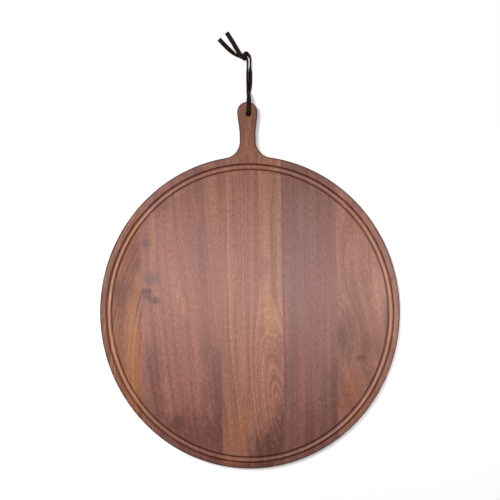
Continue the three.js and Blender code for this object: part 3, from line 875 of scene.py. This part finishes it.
# %% Group: groove, edge and pores over a wood colour
def board_finish_and_painted_light():
    """Burnt groove walls with painted shade, a lighter groove floor with a painted highlight,
    a darker edge that is partly painted shade, and pores that hold shade.

    A share runs from 0 at the oval's middle to 1 on the groove's line, so a place stands
    reach x (1 - 1 / share) off the line: outside it where that is above 0.
    """
    tree, given, made = new_group(
        "board_finish_and_painted_light",
        {"Vector": "Vector", "Colour": "Color", "Streaks": "Float", "Fibres": "Float",
         "Pores": "Float", "Edge": "Float"},
        {"Colour": "Color", "Roughness": "Float", "Height": "Float"})
    place = node(tree, "SeparateXYZ", {0: given["Vector"]}).outputs
    from_middle = maths(tree, "SUBTRACT", place["Y"], GROOVE_Y)
    share_x = maths(tree, "DIVIDE", place["X"], GROOVE_HALF_X)
    share_y = maths(tree, "DIVIDE", from_middle, GROOVE_HALF_Y)
    share = distance(tree, share_x, share_y)
    reach = distance(tree, place["X"], from_middle)
    outside = maths(tree, "SUBTRACT", 1.0, maths(tree, "DIVIDE", 1.0, share))
    off = maths(tree, "ABSOLUTE", times(tree, reach, outside))
    on_face = ramp(tree, place["Z"], *UPPER_PART)
    wall = times(tree, ramp(tree, off, *WALL_FROM_FLOOR),
                 times(tree, ramp(tree, off, *WALL_TO_FACE), on_face))
    ground = times(tree, ramp(tree, off, *FLOOR_FROM_WALL), on_face)
    across_grain = times(tree, share_y, share_y)
    # Painted shade: the wall that faces left and the right side are darker.
    faces_left = times(tree, maths(tree, "SIGN", outside), share_x)
    wall_darkness = share_of(tree, across_grain, DARKER_ACROSS_GRAIN, BURN_LEAST)
    wall_dark_and_side_shade = share_of(tree, share_x, SHADE_RIGHT_SIDE, wall_darkness)
    wall_burn_and_shade = share_of(tree, faces_left, SHADE_FACING_LEFT, wall_dark_and_side_shade)
    # Painted highlight on the groove floor, strongest along the grain.
    floor_highlight = share_of(tree, across_grain, FLOOR_HIGHLIGHT_ACROSS, FLOOR_HIGHLIGHT_MOST)
    fibre_tone = share_of(tree, given["Fibres"], FIBRE_GAIN, FIBRE_DARKEST)
    streak_tone = share_of(tree, given["Streaks"], STREAK_GAIN, STREAK_DARKEST)
    tone = grey(tree, times(tree, fibre_tone, streak_tone))
    grained = blend_colour(tree, 1.0, given["Colour"], tone, "MULTIPLY")
    pored = blend_colour(tree, times(tree, given["Pores"], PORE_COVER), grained, PORE_SHADE)
    bright = blend_colour(tree, times(tree, ground, floor_highlight), pored, GROOVE_FLOOR_AND_HIGHLIGHT)
    scorched_and_shaded = blend_colour(tree, times(tree, wall, wall_burn_and_shade), bright, GROOVE_SCORCH_AND_SHADE)
    # The edge is darker: partly oil, partly painted shade.
    edge_share = times(tree, ramp(tree, given["Edge"], *EDGE_OIL_AND_SHADE),
                       ramp(tree, given["Edge"], *EDGE_SIDE))
    put(made["Colour"], blend_colour(tree, edge_share, scorched_and_shaded, EDGE_SHADE))
    satin = share_of(tree, given["Streaks"], STREAK_DULL, SATIN)
    worn = share_of(tree, given["Pores"], PORE_DULL, satin)
    put(made["Roughness"], maths(tree, "SUBTRACT", worn, times(tree, ground, FLOOR_POLISH)))
    raised = times(tree, given["Fibres"], FIBRE_HEIGHT)
    put(made["Height"], maths(tree, "SUBTRACT", raised, given["Pores"]))
    return tree


BOARD_FINISH_AND_PAINTED_LIGHT = board_finish_and_painted_light()
print("finish group has", len(BOARD_FINISH_AND_PAINTED_LIGHT.nodes), "nodes")

# %% [markdown]
# ### Five staves, five figures
#
# Each stave gets its heart line, its two tones and its own marks. Places are in
# millimetres on the face; a mark is its middle, its half size, its colour and how strongly
# it covers.

# %% Outer left stave: tan, with lines that fan out to the upper right
MARK_RAGGED = 1.3
stave_looks = {}
stave_looks["stave_left_outer"] = {
    "slot": "walnut_tan",
    "figure": {"Seed": 3.1, "Heart X": 0.1, "Heart Depth": 0.06, "Ring Width": 4.4 * MM,
               "Wander": 16.0 * MM, "Bow": 1.25, "Bow Y": -0.09},
    "mauve": (132, 79, 56),
    "gold": (164, 106, 75),
    "ring": 0.75,
    "marks": [
        ((-194, -80), (18, 140), (182, 115, 73), 0.55),
        ((-224, 20), (15, 80), (108, 54, 37), 0.45),
        ((-198, 95), (30, 90), (112, 58, 36), 0.65),
        ((-243, -20), (16, 130), (120, 70, 52), 0.6),
        # painted shade: a dark band along the upper left rim
        ((-228, 88), (17, 84), (110, 67, 54), 0.6),
        ((-215, 40), (16, 56), (102, 51, 33), 0.7),
        ((-187, 57), (9, 24), (182, 119, 84), 0.4),
    ],
}

# %% Inner left stave: red brown, with a pale flame between two purple bands
stave_looks["stave_left_inner"] = {
    "slot": "walnut_red",
    "figure": {"Seed": 11.7, "Heart X": -0.34, "Heart Depth": 0.05, "Ring Width": 6.0 * MM,
               "Wander": 26.0 * MM, "Bow": 0.16, "Bow Y": 0.3},
    "mauve": (136, 88, 79),
    "gold": (159, 105, 88),
    "ring": 0.14,
    "marks": [
        ((-130, 100), (58, 170), (180, 119, 94), 0.22),
        ((-163, 58), (22, 15), (106, 77, 74), 0.6),
        ((-171, 37), (13, 8), (91, 54, 46), 0.75),
        ((-170, 27), (12, 8), (91, 54, 46), 0.65),
        ((-158, 21), (13, 9), (91, 54, 46), 0.7),
        ((-173, 120), (9, 9), (91, 56, 50), 0.5),
        ((-169, 115), (12, 6), (91, 56, 50), 0.5),
        ((-160, 122), (7, 60), (176, 119, 89), 0.55),
        ((-132, 103), (12, 3.6), (99, 59, 52), 0.3),
        ((-58, 188), (17, 80), (172, 113, 84), 0.5),
        ((-119, 32), (6, 22), (182, 123, 97), 0.55),
        ((-110, 8), (7, 24), (182, 123, 97), 0.5),
        ((-74, -58), (16, 50), (110, 73, 72), 0.4),
        ((-115, -95), (19, 90), (162, 106, 88), 0.45),
        ((-162, -90), (27, 58), (104, 63, 58), 0.45),
        ((-53, -112), (16, 100), (103, 67, 64), 0.55),
        ((-110, -208), (90, 72), (106, 62, 55), 0.55),
        ((-58, -206), (28, 56), (91, 52, 48), 0.35),
        ((-124, -184), (18, 16), (83, 50, 46), 0.45),
        # painted shade: a dark band along the bottom rim
        ((-62, -250), (40, 14), (96, 58, 48), 0.4),
        ((-158, -154), (28, 54), (100, 59, 51), 0.42),
        ((-146, 184), (26, 26), (110, 68, 58), 0.45),
        ((-74, -135), (13, 42), (108, 67, 64), 0.4),
        ((-86, 166), (11, 44), (174, 116, 96), 0.3),
        ((-176, -20), (9, 38), (178, 118, 92), 0.45),
    ],
}

# %% Centre stave: the lightest, with arches that point up the board
stave_looks["stave_centre"] = {
    "slot": "walnut_light",
    "figure": {"Seed": 23.4, "Heart X": 0.027, "Heart Lean": -0.12, "Heart Depth": 0.015,
               "Heart Slope": 0.21, "Heart Level": 0.0, "Ring Width": 3.6 * MM,
               "Wander": 19.0 * MM},
    "mauve": (143, 93, 79),
    "gold": (166, 113, 91),
    "ring": 0.24,
    "marks": [
        ((36, -12), (20, 46), (186, 133, 96), 0.55),
        ((30, 28), (11, 38), (176, 124, 93), 0.4),
        ((28, -62), (12, 26), (140, 88, 72), 0.4),
        ((-8, -178), (8, 44), (178, 114, 74), 0.5),
        ((32, -156), (5, 30), (172, 116, 86), 0.45),
        ((-28, -206), (28, 62), (172, 110, 74), 0.45),
        ((50, -214), (40, 72), (90, 56, 53), 0.6),
        ((24, 74), (14, 32), (126, 82, 68), 0.5),
        ((22, -232), (38, 44), (88, 53, 50), 0.6),
        # painted shade: a dark band along the bottom rim
        ((0, -258), (70, 14), (94, 56, 46), 0.55),
        ((46, 158), (9, 66), (174, 120, 101), 0.45),
        ((47, -74), (9, 42), (124, 78, 62), 0.5),
        ((0, 310), (52, 84), (149, 94, 72), 0.8),
        ((2, 308), (3, 24), (178, 124, 94), 0.45),
        ((-2, 286), (5, 22), (176, 122, 92), 0.45),
        ((-8, 306), (3.5, 40), (146, 80, 66), 0.45),
        ((9, 318), (3, 26), (104, 62, 50), 0.5),
        ((1, 266), (16, 9), (170, 116, 92), 0.4),
    ],
}

# %% Inner right stave: greyish and straight
stave_looks["stave_right_inner"] = {
    "slot": "walnut_grey",
    "figure": {"Seed": 37.9, "Heart X": 0.35, "Heart Depth": 0.1, "Ring Width": 2.6 * MM,
               "Wander": 8.0 * MM},
    "mauve": (127, 84, 76),
    "gold": (147, 99, 89),
    "ring": 0.08,
    "marks": [
        ((92, 165), (16, 60), (160, 114, 104), 0.35),
        ((138, -150), (16, 100), (96, 60, 54), 0.4),
        ((86, -120), (12, 120), (144, 88, 78), 0.35),
        ((60, -110), (9, 80), (104, 72, 68), 0.35),
        ((100, -215), (60, 90), (112, 66, 58), 0.4),
    ],
}

# %% Outer right stave: salmon, with a knot at its glue line
stave_looks["stave_right_outer"] = {
    "slot": "walnut_salmon",
    "figure": {"Seed": 52.3, "Heart X": -0.02, "Heart Depth": 0.04, "Ring Width": 4.2 * MM,
               "Wander": 14.0 * MM, "Bow": 0.7, "Bow Y": 0.12,
               "Knot Place": (0.15, -0.03, 0.018), "Knot Push": 0.024, "Knot Reach": 0.04},
    "mauve": (137, 91, 78),
    "gold": (160, 110, 93),
    "ring": 0.18,
    "marks": [
        ((163, -28), (28, 48), (98, 66, 60), 0.45),
        ((153, -46), (14, 24), (82, 56, 51), 0.35),
        ((160, -72), (15, 26), (104, 69, 60), 0.45),
        ((184, -78), (10, 8), (82, 51, 44), 0.6),
        ((196, -58), (8, 26), (105, 71, 64), 0.4),
        ((157, 177), (7, 58), (174, 124, 106), 0.5),
        ((166, 85), (10, 60), (172, 119, 95), 0.4),
        ((194, 120), (6, 76), (170, 121, 100), 0.35),
        ((166, -148), (32, 80), (148, 87, 62), 0.5),
        ((240, 0), (14, 110), (172, 120, 101), 0.55),
        ((217, 42), (20, 78), (188, 136, 116), 0.55),
        ((178, 112), (16, 76), (178, 120, 97), 0.5),
        ((200, -60), (50, 36), (118, 78, 66), 0.3),
    ],
}
print("looks for", len(stave_looks), "staves")

# %% [markdown]
# ### One material for each stave
#
# The order is that of the real board: the log gives the lines, the wood its two tones and
# its marks, the workshop the groove and the edge, and the oil comes last. One material with
# five masks could hold them all, but five small ones are easier to change. One function
# makes them, and only the look that it is given differs.

# %% Put the finishes on the staves
PORE_DEPTH = 0.12 * MM
PORE_RELIEF = 0.6
OIL_SHEEN = 0.16
BAND_SHARE = 0.55
STREAK_SHARE = 0.45
PLAIN_FIGURE = {"Knot Reach": 1.0, "Heart Level": 1.0}


def walnut(name, look):
    """One stave's material: figure, then tones, then marks, then the board's finish and painted
    light.
    """
    material = bpy.data.materials.new(name)
    material.use_nodes = True
    tree = material.node_tree
    shader = tree.nodes["Principled BSDF"]
    place = node(tree, "TexCoord").outputs["Object"]
    figure = use_group(tree, WALNUT_FIGURE, {"Vector": place} | PLAIN_FIGURE | look["figure"])
    hue = share_of(tree, figure["Bands"], BAND_SHARE,
                   times(tree, figure["Streaks"], STREAK_SHARE))
    ground = blend_colour(tree, hue, paint(*look["mauve"]), paint(*look["gold"]))
    ring = share_of(tree, figure["Rings"], look["ring"], 1.0 - 0.5 * look["ring"])
    colour = blend_colour(tree, 1.0, ground, grey(tree, ring), "MULTIPLY")
    for (x, y), (half_x, half_y), tone, strength in look["marks"]:
        mask = use_group(tree, SOFT_PATCH, {
            "Vector": place, "Middle": (x * MM, y * MM, thickness),
            "Half Size": (half_x * MM, half_y * MM, 1.0), "Ragged": MARK_RAGGED})["Mask"]
        colour = blend_colour(tree, times(tree, mask, strength), colour, paint(*tone))
    edge = node(tree, "Attribute", attribute_name="edge").outputs["Fac"]
    finish = use_group(tree, BOARD_FINISH_AND_PAINTED_LIGHT, {
        "Vector": place, "Colour": colour, "Streaks": figure["Streaks"],
        "Fibres": figure["Fibres"], "Pores": figure["Pores"], "Edge": edge})
    relief = node(tree, "Bump", {"Height": finish["Height"], "Distance": PORE_DEPTH,
                                 "Strength": PORE_RELIEF})
    put(shader.inputs["Base Color"], finish["Colour"])
    put(shader.inputs["Roughness"], finish["Roughness"])
    put(shader.inputs["Normal"], relief.outputs["Normal"])
    shader.inputs["Specular IOR Level"].default_value = OIL_SHEEN
    return material


for name, look in stave_looks.items():
    piece = stave_objects[name]
    piece.data.materials.append(walnut("oiled_" + look["slot"], look))
    print(piece.name, "has", len(look["marks"]), "marks")

# %% [markdown]
# ## Leather
#
# The lace is dark brown, waxed, and cut from a thin hide: its two faces are smooth with a
# fine pebble, its cut edges are rougher and dull. A picture of hide would repeat along the
# strip, so cells and noise make the skin. The strip's own UV map says which side is which,
# because it goes once round the section.

# %% Dark waxed leather
LEATHER_DARK = paint(26, 12, 8)
LEATHER_BROWN = paint(43, 25, 19)
LEATHER_EDGE = paint(28, 14, 10)
CUT_EDGE = (0.93, 0.995)
PEBBLES_PER_METRE = 1500.0
CREASE_WIDTH = 0.14
WAX_WAVES = (260.0, 120.0, 1.0)
WAX_SPAN = (0.3, 0.75)
EDGE_COVER, CREASE_COVER = 0.5, 0.5
LEATHER_SATIN, WAX_DULL, EDGE_DULL = 0.48, 0.25, 0.2
WAX_HEIGHT = 0.6
LEATHER_DEPTH = 0.1 * MM
LEATHER_RELIEF = 0.4
LEATHER_SHEEN = 0.15


def leather():
    """Pebbled dark leather: cell edges as creases, noise for the wax, dull cut edges.

    u goes once round the section from one cut edge, so |cos(2 pi u)| is 1 at both cut
    edges and falls to 0 in the middle of both faces.
    """
    material = bpy.data.materials.new("waxed_leather")
    material.use_nodes = True
    tree = material.node_tree
    shader = tree.nodes["Principled BSDF"]
    round_along = node(tree, "UVMap", uv_map="UVMap").outputs[0]
    place = node(tree, "SeparateXYZ", {0: round_along}).outputs
    turn = times(tree, place["X"], 2.0 * math.pi)
    to_edge = maths(tree, "ABSOLUTE", maths(tree, "COSINE", turn))
    cut_edge = ramp(tree, to_edge, *CUT_EDGE)
    girth = 2.0 * (LACE_WIDTH + LACE_THICKNESS)
    skin = node(tree, "VectorMath", {0: round_along, 1: (girth, 1.0, 1.0)},
                operation="MULTIPLY").outputs[0]
    pebble = node(tree, "TexVoronoi", {"Vector": skin, "Scale": PEBBLES_PER_METRE},
                  feature="DISTANCE_TO_EDGE").outputs["Distance"]
    crease = ramp(tree, pebble, CREASE_WIDTH, 0.0)
    wax = noise(tree, stretched(tree, skin, WAX_WAVES), detail=4.0, roughness=0.6)
    tone = blend_colour(tree, ramp(tree, wax, *WAX_SPAN), LEATHER_DARK, LEATHER_BROWN)
    worn = blend_colour(tree, times(tree, cut_edge, EDGE_COVER), tone, LEATHER_EDGE)
    creased = blend_colour(tree, times(tree, crease, CREASE_COVER), worn, LEATHER_DARK)
    put(shader.inputs["Base Color"], creased)
    satin = share_of(tree, wax, WAX_DULL, LEATHER_SATIN)
    put(shader.inputs["Roughness"], share_of(tree, cut_edge, EDGE_DULL, satin))
    height = maths(tree, "SUBTRACT", times(tree, wax, WAX_HEIGHT), crease)
    relief = node(tree, "Bump", {"Height": height, "Distance": LEATHER_DEPTH,
                                 "Strength": LEATHER_RELIEF})
    put(shader.inputs["Normal"], relief.outputs["Normal"])
    shader.inputs["Specular IOR Level"].default_value = LEATHER_SHEEN
    return material


waxed_leather = leather()
for half in (front_half, back_half):
    half.data.materials.append(waxed_leather)
print("leather on", [half.name for half in (front_half, back_half)])

# %% [markdown]
# ## Floor and light
#
# The photograph has a plain white ground and soft light from the upper left. The floor is
# white, with a little warm light of its own that only the camera, reflections and glass
# see, so that it reads as white and still keeps the board's shadow.

# %% Floor
FLOOR_HALF = 4.0
FLOOR_WHITE = (0.93, 0.93, 0.93, 1.0)
FLOOR_GLOW = 0.4
GLOW_COLOUR = (1.0, 0.96, 0.95, 1.0)
HOLE_SHADE = 9.0 * MM
HOLE_SHADE_FADE = 2.0 * MM


def floor_material():
    """White matt floor plus a small glow for rays that reach the eye, none under the hole.

    The glow is FLOOR_GLOW x (1 for camera, mirror and glass rays, else 0) x a straight
    ramp from 0 at HOLE_SHADE off the hole's axis to 1 at HOLE_SHADE_FADE further out.
    """
    material = bpy.data.materials.new("white_floor")
    material.use_nodes = True
    tree = material.node_tree
    tree.nodes.clear()
    path = node(tree, "LightPath").outputs
    seen = maths(tree, "MAXIMUM", path["Is Camera Ray"], path["Is Glossy Ray"])
    reaches_eye = maths(tree, "MAXIMUM", seen, path["Is Transmission Ray"])
    level = times(tree, reaches_eye, FLOOR_GLOW)
    place = node(tree, "TexCoord").outputs["Object"]
    away = node(tree, "VectorMath", {0: place, 1: (HOLE_X, HOLE_Y, 0.0)},
                operation="DISTANCE").outputs["Value"]
    clear = node(tree, "MapRange", {"Value": away, "From Min": HOLE_SHADE,
                                    "From Max": HOLE_SHADE + HOLE_SHADE_FADE}).outputs["Result"]
    shown = times(tree, level, clear)
    matt = node(tree, "BsdfDiffuse", {"Color": FLOOR_WHITE}).outputs[0]
    glow = node(tree, "Emission", {"Color": GLOW_COLOUR, "Strength": shown}).outputs[0]
    both = node(tree, "AddShader", {0: matt, 1: glow}).outputs[0]
    node(tree, "OutputMaterial", {"Surface": both})
    return material


floor_mesh = bpy.data.meshes.new("floor")
floor_mesh.from_pydata([(-FLOOR_HALF, -FLOOR_HALF, 0.0), (FLOOR_HALF, -FLOOR_HALF, 0.0),
                        (FLOOR_HALF, FLOOR_HALF, 0.0), (-FLOOR_HALF, FLOOR_HALF, 0.0)],
                       [], [(0, 1, 2, 3)])
floor_mesh.materials.append(floor_material())
floor = bpy.data.objects.new("floor", floor_mesh)
bpy.context.scene.collection.objects.link(floor)
print("floor", 2 * FLOOR_HALF, "m square")

# %% [markdown]
# ### Sky and lamps
#
# An even sky fills the shadows a little. One large soft lamp high at the upper left makes
# the short shadow at the lower right, and a weak strip lamp above the disc adds a little
# light about its middle. A picture of a white room could light the board as well, but a
# lamp's shadow is easier to put in its place. The lamps are hidden from the camera.

# %% World and soft lamps
SKY_LIGHT = 0.16
SKY_WHITE = (1.0, 1.0, 1.0, 1.0)
KEY_LAMP = {"place": (-1.8, 1.35, 5.6), "aim": (0.0, 0.05, 0.0), "size": (1.3, 1.3),
            "power": 203.0, "spread": 180.0}
STRIP_LAMP = {"place": (0.0, 0.07, 1.6), "aim": (0.0, 0.01, 0.0), "size": (0.8, 0.1),
              "power": 0.38, "spread": 23.0}


def world_light():
    """An even white sky: SKY_LIGHT for the object, plain white where the camera sees it."""
    world = bpy.data.worlds.new("studio")
    world.use_nodes = True
    tree = world.node_tree
    seen = node(tree, "LightPath").outputs["Is Camera Ray"]
    strength = node(tree, "MapRange", {"Value": seen, "To Min": SKY_LIGHT, "To Max": 1.0})
    sky = tree.nodes["Background"].inputs
    put(sky["Strength"], strength.outputs["Result"])
    put(sky["Color"], SKY_WHITE)
    return world


def soft_lamp(name, place, aim, size, power, spread):
    """A soft lamp at place that faces aim.

    Its size is its width and height in metres, its power is in watts, and its spread is
    the angle of its beam in degrees.
    """
    data = bpy.data.lights.new(name, "AREA")
    data.shape = "RECTANGLE"
    data.size, data.size_y = size
    data.energy = power
    data.spread = math.radians(spread)
    lamp = bpy.data.objects.new(name, data)
    lamp.location = place
    towards = Vector(aim) - Vector(place)
    lamp.rotation_euler = towards.to_track_quat("-Z", "Y").to_euler()
    lamp.visible_camera = False
    bpy.context.scene.collection.objects.link(lamp)
    return lamp


bpy.context.scene.world = world_light()
soft_lamp("key_lamp", **KEY_LAMP)
soft_lamp("strip_lamp", **STRIP_LAMP)
print("lamps", [light.name for light in bpy.data.lights])
